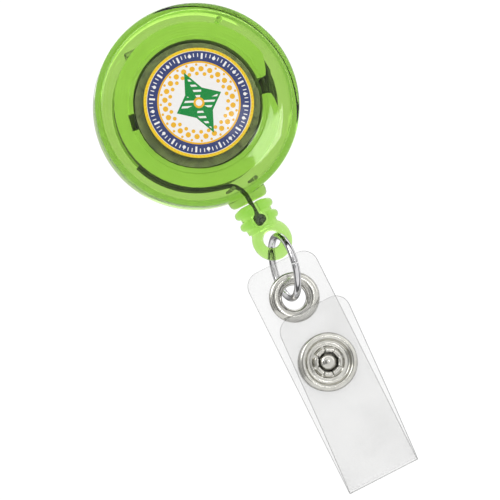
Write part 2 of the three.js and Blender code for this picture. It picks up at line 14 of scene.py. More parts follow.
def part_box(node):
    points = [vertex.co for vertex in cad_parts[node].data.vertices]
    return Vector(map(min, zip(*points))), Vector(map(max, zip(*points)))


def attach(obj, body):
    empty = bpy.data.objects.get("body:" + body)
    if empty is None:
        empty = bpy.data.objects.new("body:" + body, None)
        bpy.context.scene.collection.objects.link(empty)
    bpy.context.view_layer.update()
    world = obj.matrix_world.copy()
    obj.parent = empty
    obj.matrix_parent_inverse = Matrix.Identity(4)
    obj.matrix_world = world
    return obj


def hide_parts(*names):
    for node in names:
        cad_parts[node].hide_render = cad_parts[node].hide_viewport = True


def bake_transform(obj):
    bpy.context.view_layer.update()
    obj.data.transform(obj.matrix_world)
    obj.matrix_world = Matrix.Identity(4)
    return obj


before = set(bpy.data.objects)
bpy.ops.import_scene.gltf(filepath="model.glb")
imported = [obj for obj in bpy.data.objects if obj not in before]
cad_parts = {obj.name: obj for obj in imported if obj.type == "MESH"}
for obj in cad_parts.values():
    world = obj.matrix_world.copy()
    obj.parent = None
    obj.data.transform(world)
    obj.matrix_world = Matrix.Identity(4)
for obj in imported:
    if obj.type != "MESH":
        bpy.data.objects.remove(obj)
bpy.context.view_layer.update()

MM = 0.001
pin_low, pin_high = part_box("guide_pin_left")
knot_low, knot_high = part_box("cord_knot")
eyelet_low, eyelet_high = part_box("eyelet")
CASE_Y = (pin_low[1] + pin_high[1]) / 2 / MM  # the middle plane of the case
CHAIN_X = (knot_low[0] + knot_high[0]) / 2 / MM  # the line that the neck hangs on
STRAP_X = (eyelet_low[0] + eyelet_high[0]) / 2 / MM  # the line that the strap hangs on

X, Y, Z = Vector((1, 0, 0)), Vector((0, 1, 0)), Vector((0, 0, 1))


def place(x, y, z):
    """A point given in millimetres round the case centre, in metres in the frame."""
    return Vector((x, CASE_Y + y, z)) * MM


# ---- Camera, lights and floor ---------------------------------------------------------------

scene = bpy.context.scene
scene.view_settings.view_transform = "Standard"

VIEW_AZIMUTH = math.radians(-8)
VIEW_ELEVATION = math.radians(-1)
VIEW_UP = Vector((0.451, 0, 0.893))
VIEW_AIM = place(-2.5, 0, -23.85)
VIEW_DISTANCE = 0.434
LENS = 200

camera_data = bpy.data.cameras.new("camera")
camera_data.lens = LENS
camera_data.clip_start = 0.01
camera_data.clip_end = 10
camera = bpy.data.objects.new("camera", camera_data)
scene.collection.objects.link(camera)
scene.camera = camera
level = math.cos(VIEW_ELEVATION)
backwards = Vector((
    math.sin(VIEW_AZIMUTH) * level, -math.cos(VIEW_AZIMUTH) * level, math.sin(VIEW_ELEVATION),
))
upwards = (VIEW_UP - backwards * VIEW_UP.dot(backwards)).normalized()
turn = Matrix((upwards.cross(backwards), upwards, backwards)).transposed()
camera.matrix_world = Matrix.Translation(VIEW_AIM + backwards * VIEW_DISTANCE) @ turn.to_4x4()


LAMP_DISTANCE = 0.6


def softbox(name, direction, width, height, watts, aim=(0, 0, -20)):
    """A rectangular lamp that faces a point of the reel."""
    lamp = bpy.data.lights.new(name, "AREA")
    lamp.shape = "RECTANGLE"
    lamp.size, lamp.size_y = width, height
    lamp.energy = watts
    box = bpy.data.objects.new(name, lamp)
    scene.collection.objects.link(box)
    away = Vector(direction).normalized()
    box.location = place(*aim) + away * LAMP_DISTANCE
    box.rotation_euler = away.to_track_quat("Z", "Y").to_euler()


softbox("key_softbox", (-0.75, -0.75, 1.0), 0.34, 0.34, 0.55)
softbox("side_softbox", (1.2, -0.5, 0.25), 0.16, 0.5, 0.2)
softbox("back_softbox", (0.3, 1.0, 0.6), 0.4, 0.4, 0.5)
softbox("window_softbox", (0.191, -0.981, -0.024), 0.05, 0.04, 0.05, (19, -4.6, 1.5))

FLOOR_Z = -0.9  # below the strap when all the cord is out
bpy.ops.object.select_all(action="DESELECT")
bpy.ops.mesh.primitive_plane_add(size=12, location=(0, 0, FLOOR_Z))
floor = bpy.context.object
floor.name = "floor"

# ---- Shader maths ---------------------------------------------------------------------------


class Wire:
    """A socket of a finish's nodes. Sums and products of values add their Math nodes."""

    def __init__(self, finish, socket):
        self.finish, self.socket = finish, socket

    def math(self, operation, *values):
        return self.finish.node("Math", {"operation": operation}, values)[0]

    def __add__(self, other):
        return self.math("ADD", self, other)

    def __sub__(self, other):
        return self.math("SUBTRACT", self, other)

    def __rsub__(self, other):
        return self.math("SUBTRACT", other, self)

    def __mul__(self, other):
        return self.math("MULTIPLY", self, other)

    def __truediv__(self, other):
        return self.math("DIVIDE", self, other)

    def __gt__(self, other):
        return self.math("GREATER_THAN", self, other)

    def __lt__(self, other):
        return self.math("LESS_THAN", self, other)

    def __pow__(self, other):
        return self.math("POWER", self, other)

    __radd__, __rmul__ = __add__, __mul__

    def sine(self):
        return self.math("SINE", self)

    def between(self, low, high):
        return (self > low) * (self < high)

    def ramp(self, from_low, from_high, to_low=0.0, to_high=1.0):
        """The value carried smoothly from one range to another, and held at its ends."""
        settings = {"interpolation_type": "SMOOTHSTEP"}
        return self.finish.node("MapRange", settings, (self, from_low, from_high, to_low, to_high))[0]


class Finish:
    """A material and its nodes."""

    def __init__(self, name):
        self.material = bpy.data.materials.new(name)
        self.material.use_nodes = True
        self.tree = self.material.node_tree
        self.tree.nodes.clear()

    def node(self, kind, settings=None, inputs=()):
        """A node of a type, its settings, and the values or links of its sockets. Gives its outputs."""
        made = self.tree.nodes.new("ShaderNode" + kind)
        for key, value in (settings or {}).items():
            setattr(made, key, value)
        pairs = inputs.items() if isinstance(inputs, dict) else enumerate(inputs)
        for key, value in pairs:
            if isinstance(value, Wire):
                self.tree.links.new(value.socket, made.inputs[key])
            elif isinstance(value, tuple) and made.inputs[key].type == "RGBA":
                made.inputs[key].default_value = (*value, 1)
            else:
                made.inputs[key].default_value = value
        return [Wire(self, output) for output in made.outputs]

    def place(self):
        """Object coordinates in millimetres round the case centre."""
        point = self.node("TexCoord")[3]
        settings = {"vector_type": "POINT"}
        centred = {"Location": (0, -CASE_Y, 0), "Scale": (1 / MM, 1 / MM, 1 / MM), "Vector": point}
        return self.node("Mapping", settings, centred)[0]

    def axes(self, point):
        return self.node("SeparateXYZ", None, (point,))

    def stretched(self, point, x, y, z):
        return self.node("Mapping", {"vector_type": "POINT"}, {"Vector": point, "Scale": (x, y, z)})[0]

    def noise(self, point, scale, detail, roughness=0.55, distortion=0.0):
        sockets = {"Vector": point, "Scale": scale, "Detail": detail, "Roughness": roughness,
                   "Distortion": distortion}
        return self.node("TexNoise", None, sockets)[0]

    def tints(self, factor, first, second):
        """Two colours mixed by a factor."""
        return self.node("Mix", {"data_type": "RGBA"}, {0: factor, 6: first, 7: second})[2]

    def bump(self, height, distance, strength=1.0):
        """A height in 0 to 1, that many millimetres deep."""
        return self.node("Bump", None, {"Strength": strength, "Distance": distance * MM, "Height": height})[0]

    def principled(self, **sockets):
        named = {key.replace("_", " "): value for key, value in sockets.items()}
        return self.node("BsdfPrincipled", None, named)[0]

    def done(self, surface, volume=None):
        sockets = {"Surface": surface, "Volume": volume} if volume else {"Surface": surface}
        self.node("OutputMaterial", None, sockets)
        return self.material


# ---- Finishes -------------------------------------------------------------------------------

PLASTIC_IOR = 1.04  # low, so that light gets through the rounded edges as it does through thin walls


def lime_glass(name, tint, shade, roughness, ripple, light, depth_tint, density):
    """Clear lime plastic, deeper in colour where it is thick, with the faint ripples, haze and hairlines of a
    moulding. Lamps shine through it."""
    f = Finish(name)
    point = f.place()
    haze = f.noise(point, 0.35, 4)
    hairlines = f.noise(f.stretched(point, 9, 0.6, 2.4), 1.2, 2)
    color = f.tints(haze.ramp(0.35, 0.75), tint, shade)
    rough = haze.ramp(0.4, 0.8, roughness, roughness * 2) + hairlines.ramp(0.66, 0.72, 0, 0.03)
    height = f.noise(point, 0.5, 1) + hairlines.ramp(0.6, 0.7, 0, 0.02)
    glass = f.principled(
        Base_Color=color, Roughness=rough, IOR=PLASTIC_IOR, Transmission_Weight=1.0, Coat_Weight=0.5,
        Coat_Roughness=0.03, Normal=f.bump(height, ripple),
    )
    clear = f.node("BsdfTransparent", None, {"Color": light})[0]
    path = f.node("LightPath")
    body = f.node("VolumeAbsorption", None, {"Color": depth_tint, "Density": density})[0]
    return f.done(f.node("MixShader", None, (path[1], glass, clear))[0], body)


def lime_opaque():
    """The spool's fuller lime, with faint turning marks and flow lines."""
    f = Finish("lime_spool")
    point = f.place()
    x, _, z = f.axes(point)
    radius = (x * x + z * z) ** 0.5
    cloud = f.noise(point, 0.25, 3)
    rings = (radius * 14.0 + cloud * 2.0).sine()
    color = f.tints(cloud.ramp(0.3, 0.7), (0.80, 0.94, 0.49), (0.76, 0.90, 0.44))
    rough = cloud.ramp(0.3, 0.7, 0.28, 0.4)
    return f.done(f.principled(
        Base_Color=color, Roughness=rough, IOR=1.5, Normal=f.bump(rings * 0.5 + 0.5, 0.012),
    ))


def metal(name, bright, dull, roughness, grain, depth, painted_reflection_strength=0.0):
    """Plated or bare metal with fine grain, cloudy polish and a few rub marks. Its colour has painted shade
    where it turns away, and a bright plating has a painted dark reflection along each side as well."""
    f = Finish(name)
    point = f.place()
    cloud = f.noise(point, 0.8, 4)
    fine = f.noise(f.stretched(point, *grain), 3.0, 3)
    rubs = f.noise(f.stretched(point, 1.5, 6, 0.7), 2.0, 2).ramp(0.62, 0.7)
    slope = f.node("LayerWeight", None, {"Blend": 0.5})[1] + (cloud - 0.5) * 0.12
    # painted reflection: a dark stripe along each side of the metal, strongest on a bright plating
    painted_reflection_stripe = slope.ramp(0.15, 0.21) * slope.ramp(0.38, 0.30) * painted_reflection_strength
    # painted shade: the colour goes nearly black where the surface turns away from the view
    outline = slope.ramp(0.52, 0.78, 0.0, 0.9)
    dark = outline.math("MAXIMUM", outline, painted_reflection_stripe)
    # the painted shade and painted reflection darken the colour towards near black
    color = f.tints(dark, f.tints(cloud.ramp(0.35, 0.75), bright, dull), (0.07, 0.07, 0.07))
    rough = cloud.ramp(0.3, 0.8, roughness, roughness * 1.9) + rubs * 0.05
    return f.done(f.principled(
        Base_Color=color, Metallic=1.0, Roughness=rough, Normal=f.bump(fine, depth),
    ))


def braided_cord():
    """Dark braided nylon: two sets of strands that cross, and a little fuzz."""
    f = Finish("dark_cord")
    point = f.place()
    x, y, z = f.axes(point)
    over = ((x + y + z) * 21.0).sine()
    under = ((x - y + z) * 21.0).sine()
    strands = over * under
    fuzz = f.noise(point, 9, 3)
    color = f.tints(strands.ramp(-0.6, 0.8), (0.045, 0.05, 0.042), (0.17, 0.18, 0.16))
    rough = fuzz.ramp(0.3, 0.7, 0.6, 0.85)
    height = strands * 0.5 + fuzz * 0.3
    return f.done(f.principled(
        Base_Color=color, Roughness=rough, Sheen_Weight=0.3, Sheen_Roughness=0.4, Normal=f.bump(height, 0.05),
    ))


def clear_vinyl(name, tint, shade, cover, edge):
    """Clear soft vinyl: nearly all is seen through it, with a gloss, a faint haze and fine scuffs. Where it
    turns away from the view it has painted shade, darker and less clear.
    """
    f = Finish(name)
    point = f.place()
    haze = f.noise(point, 0.12, 2)
    scuffs = f.noise(f.stretched(point, 5, 1, 0.5), 1.5, 3).ramp(0.6, 0.75)
    fresnel = f.node("Fresnel", None, {"IOR": 1.52})[0]
    # painted shade: how far the vinyl turns away from the view
    slope = f.node("LayerWeight", None, {"Blend": 0.5})[1].ramp(0.45, 0.9)
    alpha = haze.ramp(0.3, 0.75, cover * 0.85, cover * 1.1) + scuffs * 0.02 + fresnel * edge + slope * 0.5
    # painted shade: the colour darkens towards dark grey where the vinyl turns away
    color = f.tints(slope, f.tints(haze.ramp(0.35, 0.7), tint, shade), (0.12, 0.12, 0.12))
    rough = haze.ramp(0.3, 0.7, 0.12, 0.2) + scuffs * 0.1
    return f.done(f.principled(
        Base_Color=color, Roughness=rough, IOR=1.52, Alpha=alpha, Normal=f.bump(haze, 0.06),
    ))


GOLD = (0.93, 0.50, 0.02)
YELLOW = (0.96, 0.68, 0.02)
NAVY = (0.040, 0.060, 0.195)
GREEN = (0.0, 0.27, 0.045)
WHITE = (0.97, 0.955, 0.93)


def printed_label():
    """A round print: a roped yellow border, a navy dial with white ticks, and a green star amid gold dots."""
    f = Finish("printed_label")
    point = f.place()
    x, _, z = f.axes(point)
    radius = (x * x + z * z) ** 0.5
    angle = x.math("ARCTAN2", x, z)

    def folded(points, turned=0.0, bearing=angle):
        """How far round the nearest of so many equal spokes a point is, in radians."""
        return x.math("PINGPONG", bearing + turned, math.pi / points)

    def dots(points, at_radius, size, turned=0.0):
        """A ring of round dots."""
        step = 2 * math.pi / points
        along = (folded(points, turned + step / 2) - step / 2) * at_radius
        across = radius - at_radius
        return (along * along + across * across) < size * size

    def star(tip, valley):
        """A tall star of four points."""
        step = math.pi / 4
        fold = folded(4, 0.0, tall_angle)
        px, pz = tall_radius * fold.math("COSINE", fold), tall_radius * fold.sine()
        end_x, end_z = valley * math.cos(step), valley * math.sin(step)
        return ((end_x - tip) * pz - end_z * (px - tip)) > 0

    wide = x * 1.35
    tall_radius = (wide * wide + z * z) ** 0.5
    tall_angle = x.math("ARCTAN2", wide, z)
    dark_side = x.math("FLOORED_MODULO", tall_angle / (math.pi / 4), 2.0) < 1.0
    hatching = (z * 7.0 + x * 3.0).sine() > 0.35
    off_fine, off_coarse = folded(72) * radius, folded(12) * radius
    ticks = (off_fine < 0.07) * radius.between(7.15, 7.72)
    long_ticks = (off_coarse < 0.15) * radius.between(6.85, 7.75)
    rope = (angle * 90.0 + radius * 9.0).sine() > 0.6
    layers = [
        (dots(24, 5.3, 0.42) + dots(24, 4.55, 0.3, math.pi / 24) + dots(24, 5.95, 0.2, math.pi / 24), GOLD),
        (star(5.2, 2.75), GREEN),
        (star(4.6, 2.3) * dark_side * hatching, WHITE),
        (radius < 0.85, GOLD),
        (radius < 0.5, WHITE),
        (radius > 6.22, GOLD),
        (radius > 6.5, NAVY),
        (ticks + long_ticks + dots(12, 7.3, 0.26, math.pi / 12), WHITE),
        (radius > 8.06, WHITE),
        (radius > 8.12, YELLOW),
        (rope * radius.between(8.16, 8.5), GOLD),
    ]
    color = WHITE
    for mask, paint in layers:
        color = f.tints(mask.math("MINIMUM", mask, 1.0), color, paint)
    grain = f.noise(point, 6, 3)
    color = f.tints(grain.ramp(0.35, 0.8, 0, 0.06), color, (0.5, 0.5, 0.48))
    rough = f.noise(point, 0.7, 3).ramp(0.3, 0.7, 0.16, 0.3)
    return f.done(f.principled(
        Base_Color=color, Roughness=rough, IOR=1.3, Coat_Weight=0.2, Coat_Roughness=0.06,
        Normal=f.bump(grain, 0.01),
    ))


CLEAR_LIME = lime_glass(
    "lime_case", (0.64, 0.80, 0.39), (0.61, 0.78, 0.36), 0.02, 0.03, (0.86, 0.98, 0.70),
    (0.537, 0.774, 0.111), 150,
)
FITTING_LIME = lime_glass(
    "lime_fitting", (0.58, 0.83, 0.32), (0.54, 0.80, 0.28), 0.04, 0.08, (0.7, 0.92, 0.45),
    (0.58, 0.84, 0.12), 250,
)
SPOOL_LIME = lime_opaque()
# the last number of a metal is the strength of its painted dark reflection along each side
CHROME = metal("ring_chrome", (0.93, 0.92, 0.93), (0.80, 0.80, 0.82), 0.04, (1, 1, 6), 0.004, 0.95)
NICKEL = metal("warm_nickel", (0.85, 0.84, 0.78), (0.72, 0.71, 0.65), 0.12, (2, 2, 2), 0.004, 0.25)
CLIP_METAL = metal("clip_steel", (0.78, 0.79, 0.80), (0.66, 0.67, 0.68), 0.17, (14, 1, 1), 0.012)
SPRING_METAL = metal("spring_steel", (0.72, 0.54, 1.0), (0.60, 0.46, 0.92), 0.42, (1, 9, 1), 0.02)
PIN_METAL = metal("pin_steel", (0.30, 0.31, 0.30), (0.2, 0.21, 0.2), 0.3, (1, 6, 1), 0.01)
CORD = braided_cord()
VINYL = clear_vinyl("clear_vinyl", (0.86, 0.86, 0.85), (0.82, 0.82, 0.81), 0.13, 0.5)
# painted shade: a dark grey, less clear vinyl put on the strap's rims and broken edges so they read as dark
# lines
VINYL_PAINTED_EDGE_SHADE = clear_vinyl("vinyl_painted_edge_shade", (0.16, 0.16, 0.155), (0.12, 0.12, 0.115), 0.6, 0.4)
PRINT = printed_label()


def floor_finish():
    f = Finish("pale_floor")
    point = f.place()
    cloud = f.noise(point, 0.004, 3)
    color = f.tints(cloud, (0.93, 0.93, 0.93), (0.90, 0.90, 0.90))
    return f.done(f.principled(Base_Color=color, Roughness=0.6, Normal=f.bump(f.noise(point, 0.4, 2), 0.05)))


floor.data.materials.append(floor_finish())


class Sky(Finish):
    """The studio round the reel: white where it is seen, banks of light and shade where it is mirrored."""

    def __init__(self):
        world = bpy.data.worlds.new("studio")
        world.use_nodes = True
        scene.world = world
        self.tree = world.node_tree
        self.tree.nodes.clear()


sky = Sky()
towards = sky.axes(sky.node("TexCoord")[0])
rise = 0.451 * towards[0] + 0.893 * towards[2]
across = 0.893 * towards[0] - 0.451 * towards[2]
facing = 0 - towards[1]
bank = rise.ramp(-0.5, 0.6, 0.55, 1.1)
lower_left = (rise + across * 0.6).ramp(0.6, -0.2, 0.45, 1.0)
near_ring = facing.ramp(0.66, 0.72) * facing.ramp(0.88, 0.82) * lower_left
far_ring = facing.ramp(0.08, 0.16) * facing.ramp(0.42, 0.34)
dark_back = facing.ramp(-0.2, -0.45)
centre = facing.ramp(0.88, 0.94)
lit = bank * (1 - near_ring * 0.95) * (1 - far_ring * 0.92) * (1 - dark_back * 0.4)
camera_side = facing.ramp(0.9, 0.95) * towards[0].ramp(0.02, -0.08)
mirrored = ((1 - centre) * lit + centre * 0.64) * (1 - camera_side * 0.8)
path = sky.node("LightPath")
seen = (path[0] + path[6]).ramp(0.4, 0.6)
scattered = (1 - seen) * path[2]
glow = seen * 1.06 + scattered * 0.84 + (1 - seen) * (1 - scattered) * mirrored
backdrop = sky.node("Background", None, {"Color": (1.0, 1.0, 1.0), "Strength": glow})[0]
sky.node("OutputWorld", None, {"Surface": backdrop})

# ---- Making pieces --------------------------------------------------------------------------


def alone(piece):
    """Selects one object and makes it the active one."""
    bpy.ops.object.select_all(action="DESELECT")
    piece.select_set(True)
    bpy.context.view_layer.objects.active = piece


def started(name):
    """Names the object that an operator has just made."""
    piece = bpy.context.object
    piece.name = piece.data.name = name
    return piece


def settled(piece):
    """Puts the piece's place into its mesh."""
    alone(piece)
    bpy.ops.object.transform_apply(location=True, rotation=True, scale=True)
    return piece


def turned(name, profile, centre=(0, 0, 0), axis=Y, steps=96, sweep=360.0):
    """A profile of [radius, along] points spun round an axis through a point given in millimetres."""
    middle = place(*centre)
    points = [middle + (X * radius + axis * along) * MM for radius, along in profile]
    bpy.ops.object.select_all(action="DESELECT")
    bpy.ops.mesh.primitive_plane_add(size=MM)
    piece = started(name)
    bpy.ops.object.mode_set(mode="EDIT")
    bpy.ops.mesh.merge(type="CENTER")
    bpy.ops.transform.translate(value=points[0])
    for here, there in zip(points, points[1:]):
        bpy.ops.mesh.extrude_vertices_move(TRANSFORM_OT_translate={"value": there - here})
    bpy.ops.mesh.select_all(action="SELECT")
    bpy.ops.mesh.spin(steps=steps, angle=math.radians(sweep), center=middle, axis=axis)
    bpy.ops.mesh.select_all(action="SELECT")
    bpy.ops.mesh.remove_doubles(threshold=2e-6)
    if sweep < 360:
        bpy.ops.mesh.select_all(action="DESELECT")
        bpy.ops.mesh.select_non_manifold()
        bpy.ops.mesh.fill_holes(sides=0)
        bpy.ops.mesh.select_all(action="SELECT")
    bpy.ops.mesh.normals_make_consistent(inside=False)
    bpy.ops.object.mode_set(mode="OBJECT")
    return settled(piece)


def arc(centre, radius, begin, end, steps):
    """Points of an arc, its angles in degrees."""
    turns = [math.radians(begin + (end - begin) * i / steps) for i in range(steps + 1)]
    return [(centre[0] + radius * math.cos(t), centre[1] + radius * math.sin(t)) for t in turns]


def changed(piece, kind, **settings):
    """Adds a modifier to the piece and applies it."""
    modifier = piece.modifiers.new(kind.lower(), kind)
    for key, value in settings.items():
        setattr(modifier, key, value)
    alone(piece)
    bpy.ops.object.modifier_apply(modifier=modifier.name)
    return piece


def combined(piece, other, operation):
    """Cuts the piece with another solid, or joins them into one, and drops the other."""
    changed(piece, "BOOLEAN", object=other, operation=operation, solver="EXACT")
    bpy.data.objects.remove(other)
    return piece


def cut(piece, other):
    return combined(piece, other, "DIFFERENCE")


def fused(piece, other):
    return combined(piece, other, "UNION")


def rod(name, x, z, radius, from_y, to_y, steps=24):
    """A straight pin along Y, its ends closed."""
    return turned(name, [(0, from_y), (radius, from_y), (radius, to_y), (0, to_y)], (x, 0, z), Y, steps)


def block(name, low, high):
    """A box between two corners."""
    centre = [(a + b) / 2 for a, b in zip(low, high)]
    bpy.ops.object.select_all(action="DESELECT")
    scale = [(b - a) * MM for a, b in zip(low, high)]
    bpy.ops.mesh.primitive_cube_add(size=1, location=place(*centre), scale=scale)
    return settled(started(name))


def joined(pieces, name):
    """Several objects made one."""
    bpy.ops.object.select_all(action="DESELECT")
    for piece in pieces:
        piece.select_set(True)
    bpy.context.view_layer.objects.active = pieces[0]
    bpy.ops.object.join()
    return started(name)


def copied(piece, name):
    made = piece.copy()
    made.data = piece.data.copy()
    made.name = made.data.name = name
    scene.collection.objects.link(made)
    return made


def tube(name, points, radius, closed=False, sides=3):
    """A round section carried along smooth points given in millimetres."""
    curve = bpy.data.curves.new(name, "CURVE")
    curve.dimensions = "3D"
    curve.bevel_depth = radius * MM
    curve.bevel_resolution = sides
    curve.use_fill_caps = not closed
    spline = curve.splines.new("POLY")
    spline.points.add(len(points) - 1)
    for knot, point in zip(spline.points, points):
        knot.co = (*place(*point), 1)
    spline.use_cyclic_u = closed
    piece = bpy.data.objects.new(name, curve)
    scene.collection.objects.link(piece)
    alone(piece)
    bpy.ops.object.convert(target="MESH")
    piece = started(name)
    changed(piece, "WELD", merge_threshold=1e-6)
    return piece


def curved(points, steps):
    """Smooth points through the given ones."""
    ends = [points[0], *points, points[-1]]
    made = []
    for i in range(1, len(ends) - 2):
        p0, p1, p2, p3 = [Vector(p) for p in ends[i - 1:i + 3]]
        for k in range(steps):
            t = k / steps
            made.append(0.5 * (2 * p1 + (p2 - p0) * t + (2 * p0 - 5 * p1 + 4 * p2 - p3) * t * t
                               + (3 * p1 - p0 - 3 * p2 + p3) * t ** 3))
    return [*made, Vector(points[-1])]


def band(name, line, width):
    """A flat strip with no thickness yet, drawn along a line of [x, y, z] points in millimetres."""
    points = [place(*point) for point in line]
    bpy.ops.object.select_all(action="DESELECT")
    bpy.ops.mesh.primitive_plane_add(size=width * MM)
    piece = started(name)
    bpy.ops.object.mode_set(mode="EDIT")
    bpy.ops.transform.resize(value=(1, 0, 1), center_override=(0, 0, 0))
    bpy.ops.mesh.select_all(action="SELECT")
    bpy.ops.mesh.remove_doubles(threshold=1e-6)
    bpy.ops.mesh.select_all(action="SELECT")
    bpy.ops.transform.translate(value=points[0])
    for here, there in zip(points, points[1:]):
        bpy.ops.mesh.extrude_edges_move(TRANSFORM_OT_translate={"value": there - here})
    bpy.ops.object.mode_set(mode="OBJECT")
    return settled(piece)


def round_corners(piece, corners, radius, segments=8):
    """Rounds the outline's corners that lie nearest the given points."""
    alone(piece)
    bpy.ops.object.mode_set(mode="EDIT")
    bpy.ops.mesh.select_all(action="DESELECT")
    mesh = bmesh.from_edit_mesh(piece.data)
    for corner in corners:
        nearest = min(mesh.verts, key=lambda vertex: (vertex.co - place(*corner)).length)
        nearest.select_set(True)
    mesh.select_flush_mode()
    bmesh.update_edit_mesh(piece.data)
    bpy.ops.mesh.bevel(offset=radius * MM, affect="VERTICES", segments=segments, profile=0.5)
    bpy.ops.object.mode_set(mode="OBJECT")
    return piece


def broken_edges(piece, width, sharper_than, segments=2, **settings):
    """Bevels the edges sharper than an angle in degrees, by a width in millimetres."""
    return changed(piece, "BEVEL", width=width * MM, segments=segments, limit_method="ANGLE",
                   angle_limit=math.radians(sharper_than), **settings)


def smooth(piece, degrees=35):
    alone(piece)
    bpy.ops.object.shade_smooth_by_angle(angle=math.radians(degrees))
    return piece


def kept(piece, body, slot, *finishes, stands_for=()):
    """Gives a piece its finish and, unless it bends between two, the body that it moves with. The slot is not
    used.
    """
    if finishes:
        piece.data.materials.clear()
        for finish in finishes:
            piece.data.materials.append(finish)
    if body:
        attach(piece, body)
    if stands_for:
        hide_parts(*stands_for)
    return piece


# ---- Case shells ----------------------------------------------------------------------------

CASE_RADIUS = 16.0
CASE_HALF_DEPTH = 4.6
EDGE_RADIUS = 2.0
WALL = 1.05
SPLIT = 0.02
BOSS_END = -17.2
FLAT_RADIUS = 9.0
FALL = 0.12  # how far each face falls away from its flat middle to the rounded edge


def drum(name, radius, half_depth, edge, bead=()):
    """A round body with flat middles, faces that fall away, a rounded edge and a bead on its front."""
    corner = (radius - edge, half_depth - FALL - edge)
    slope = [(FLAT_RADIUS + (corner[0] - FLAT_RADIUS) * t, half_depth - FALL * t * t)
             for t in (0.0, 0.2, 0.4, 0.6, 0.8)]
    back = arc(corner, edge, 0, 88, 14)
    half = [(0, half_depth), *slope, *reversed(back)]
    front = [*half[:3], *bead, *half[3:]]
    profile = [(r, -y) for r, y in front] + list(reversed(half))
    return turned(name, profile, steps=128)


BEAD_RADIUS, BEAD_HALF_WIDTH, BEAD_HEIGHT = 10.55, 0.35, 0.16
bead = [(BEAD_RADIUS + BEAD_HALF_WIDTH * c, CASE_HALF_DEPTH - 0.012 + BEAD_HEIGHT * s)
        for c, s in arc((0, 0), 1, 180, 0, 8)]
walls = drum("walls", CASE_RADIUS, CASE_HALF_DEPTH, EDGE_RADIUS, bead)
boss = turned("boss", [
    (0, BOSS_END), (2.5, BOSS_END), (2.8, BOSS_END + 0.1), (3.05, BOSS_END + 0.4), (3.2, BOSS_END + 1),
    (3.2, -13.9), (0, -13.9),
], (CHAIN_X, 0, 0), Z, 48)
fused(walls, boss)
cut(walls, drum("cavity", CASE_RADIUS - WALL, CASE_HALF_DEPTH - WALL, EDGE_RADIUS - WALL))
cut(walls, turned("bore", [
    (0, BOSS_END - 0.1), (1.3, BOSS_END - 0.1), (0.95, BOSS_END + 0.25), (0.75, BOSS_END + 0.7),
    (0.75, BOSS_END + 1.6), (1.8, -13.9), (0, -13.9),
], (CHAIN_X, 0, 0), Z, 32))
PIN_APART, PIN_Z, PIN_HOLE_RADIUS, PIN_HOLE_END = 3.9, -14.2, 0.36, 3.96
for side in (-1, 1):
    pin_x = CHAIN_X + side * PIN_APART / 2
    cut(walls, rod("pin_hole", pin_x, PIN_Z, PIN_HOLE_RADIUS, -PIN_HOLE_END, PIN_HOLE_END, 16))


BEYOND = 20  # past the rim and the boss


def half_shell(name, from_y, to_y):
    """One side of the case, cut off near the middle plane."""
    half = block("half", (-BEYOND, from_y, -BEYOND), (BEYOND, to_y, BEYOND))
    return combined(copied(walls, name), half, "INTERSECT")


front_shell = half_shell("front_shell_moulding", -6, -SPLIT)
PEG_PLACE, PEG_ANGLE, PEG_RADIUS = 13.75, math.radians(49.5), 0.5
peg_x, peg_z = PEG_PLACE * math.cos(PEG_ANGLE), PEG_PLACE * math.sin(PEG_ANGLE)
fused(front_shell, rod("peg", peg_x, peg_z, PEG_RADIUS, -3.75, -0.2))
kept(smooth(front_shell), "case", "lime_case", CLEAR_LIME, stands_for=["front_shell"])

back_shell = half_shell("back_shell_moulding", SPLIT, 6)
fused(back_shell, turned("pad", [(0, 3.6), (3.4, 3.6), (3.4, 4.85), (3.25, 5.0), (0, 5.0)], steps=48))
post = turned("post", [(0, -3.3), (2.05, -3.3), (2.2, -3.15), (2.2, 3.7), (0, 3.7)], steps=48)
fused(back_shell, cut(post, block("slit", (-3, -4, -0.25), (3, 2, 0.25))))
cut(back_shell, rod("rivet_bore", 0, 0, 1.06, 2.84, 8))
kept(smooth(back_shell), "case", "lime_case", CLEAR_LIME, stands_for=["back_shell"])
bpy.data.objects.remove(walls)

# ---- Label ----------------------------------------------------------------------------------

label = turned("label_print", [
    (0, -4.885), (8.42, -4.885), (8.54, -4.87), (8.59, -4.82), (8.6, -4.74), (8.6, -4.64), (8.3, -4.62),
    (0, -4.64),
], steps=128)
kept(smooth(label), "case", "printed_label", PRINT, stands_for=["label_disc"])

# ---- Mainspring, cord winding, cord and knot -------------------------------------------------

WINDOW_ANGLE = -10.0
SPRING_TURNS = 22
SPRING_STEPS = 56
SPRING_INNER, SPRING_SPREAD, SPRING_CLOSENESS = 2.75, 7.05, 0.55
SPRING_HALF_WIDTH, SPRING_THICKNESS = 2.25, 0.13


def spring():
    """A strip wound in close turns against the drum, with a looser middle."""
    total = SPRING_TURNS * SPRING_STEPS
    curve = bpy.data.curves.new("spring_line", "CURVE")
    curve.dimensions = "2D"
    curve.extrude = SPRING_HALF_WIDTH * MM
    curve.fill_mode = "NONE"
    spline = curve.splines.new("POLY")
    spline.points.add(total)
    for i, point in enumerate(spline.points):
        radius = SPRING_INNER + SPRING_SPREAD * (i / total) ** SPRING_CLOSENESS
        angle = math.radians(WINDOW_ANGLE - 360 * (total - i) / SPRING_STEPS)
        point.co = (radius * math.cos(angle) * MM, radius * math.sin(angle) * MM, 0, 1)
    piece = bpy.data.objects.new("spring_line", curve)
    scene.collection.objects.link(piece)
    piece.location = place(0, -0.1, 0)
    piece.rotation_euler = (math.pi / 2, 0, 0)
    alone(piece)
    bpy.ops.object.convert(target="MESH")
    piece = settled(started("wound_mainspring"))
    return changed(piece, "SOLIDIFY", thickness=SPRING_THICKNESS * MM, offset=0)


kept(smooth(spring()), "spool", "spring_steel", SPRING_METAL, stands_for=["mainspring"])

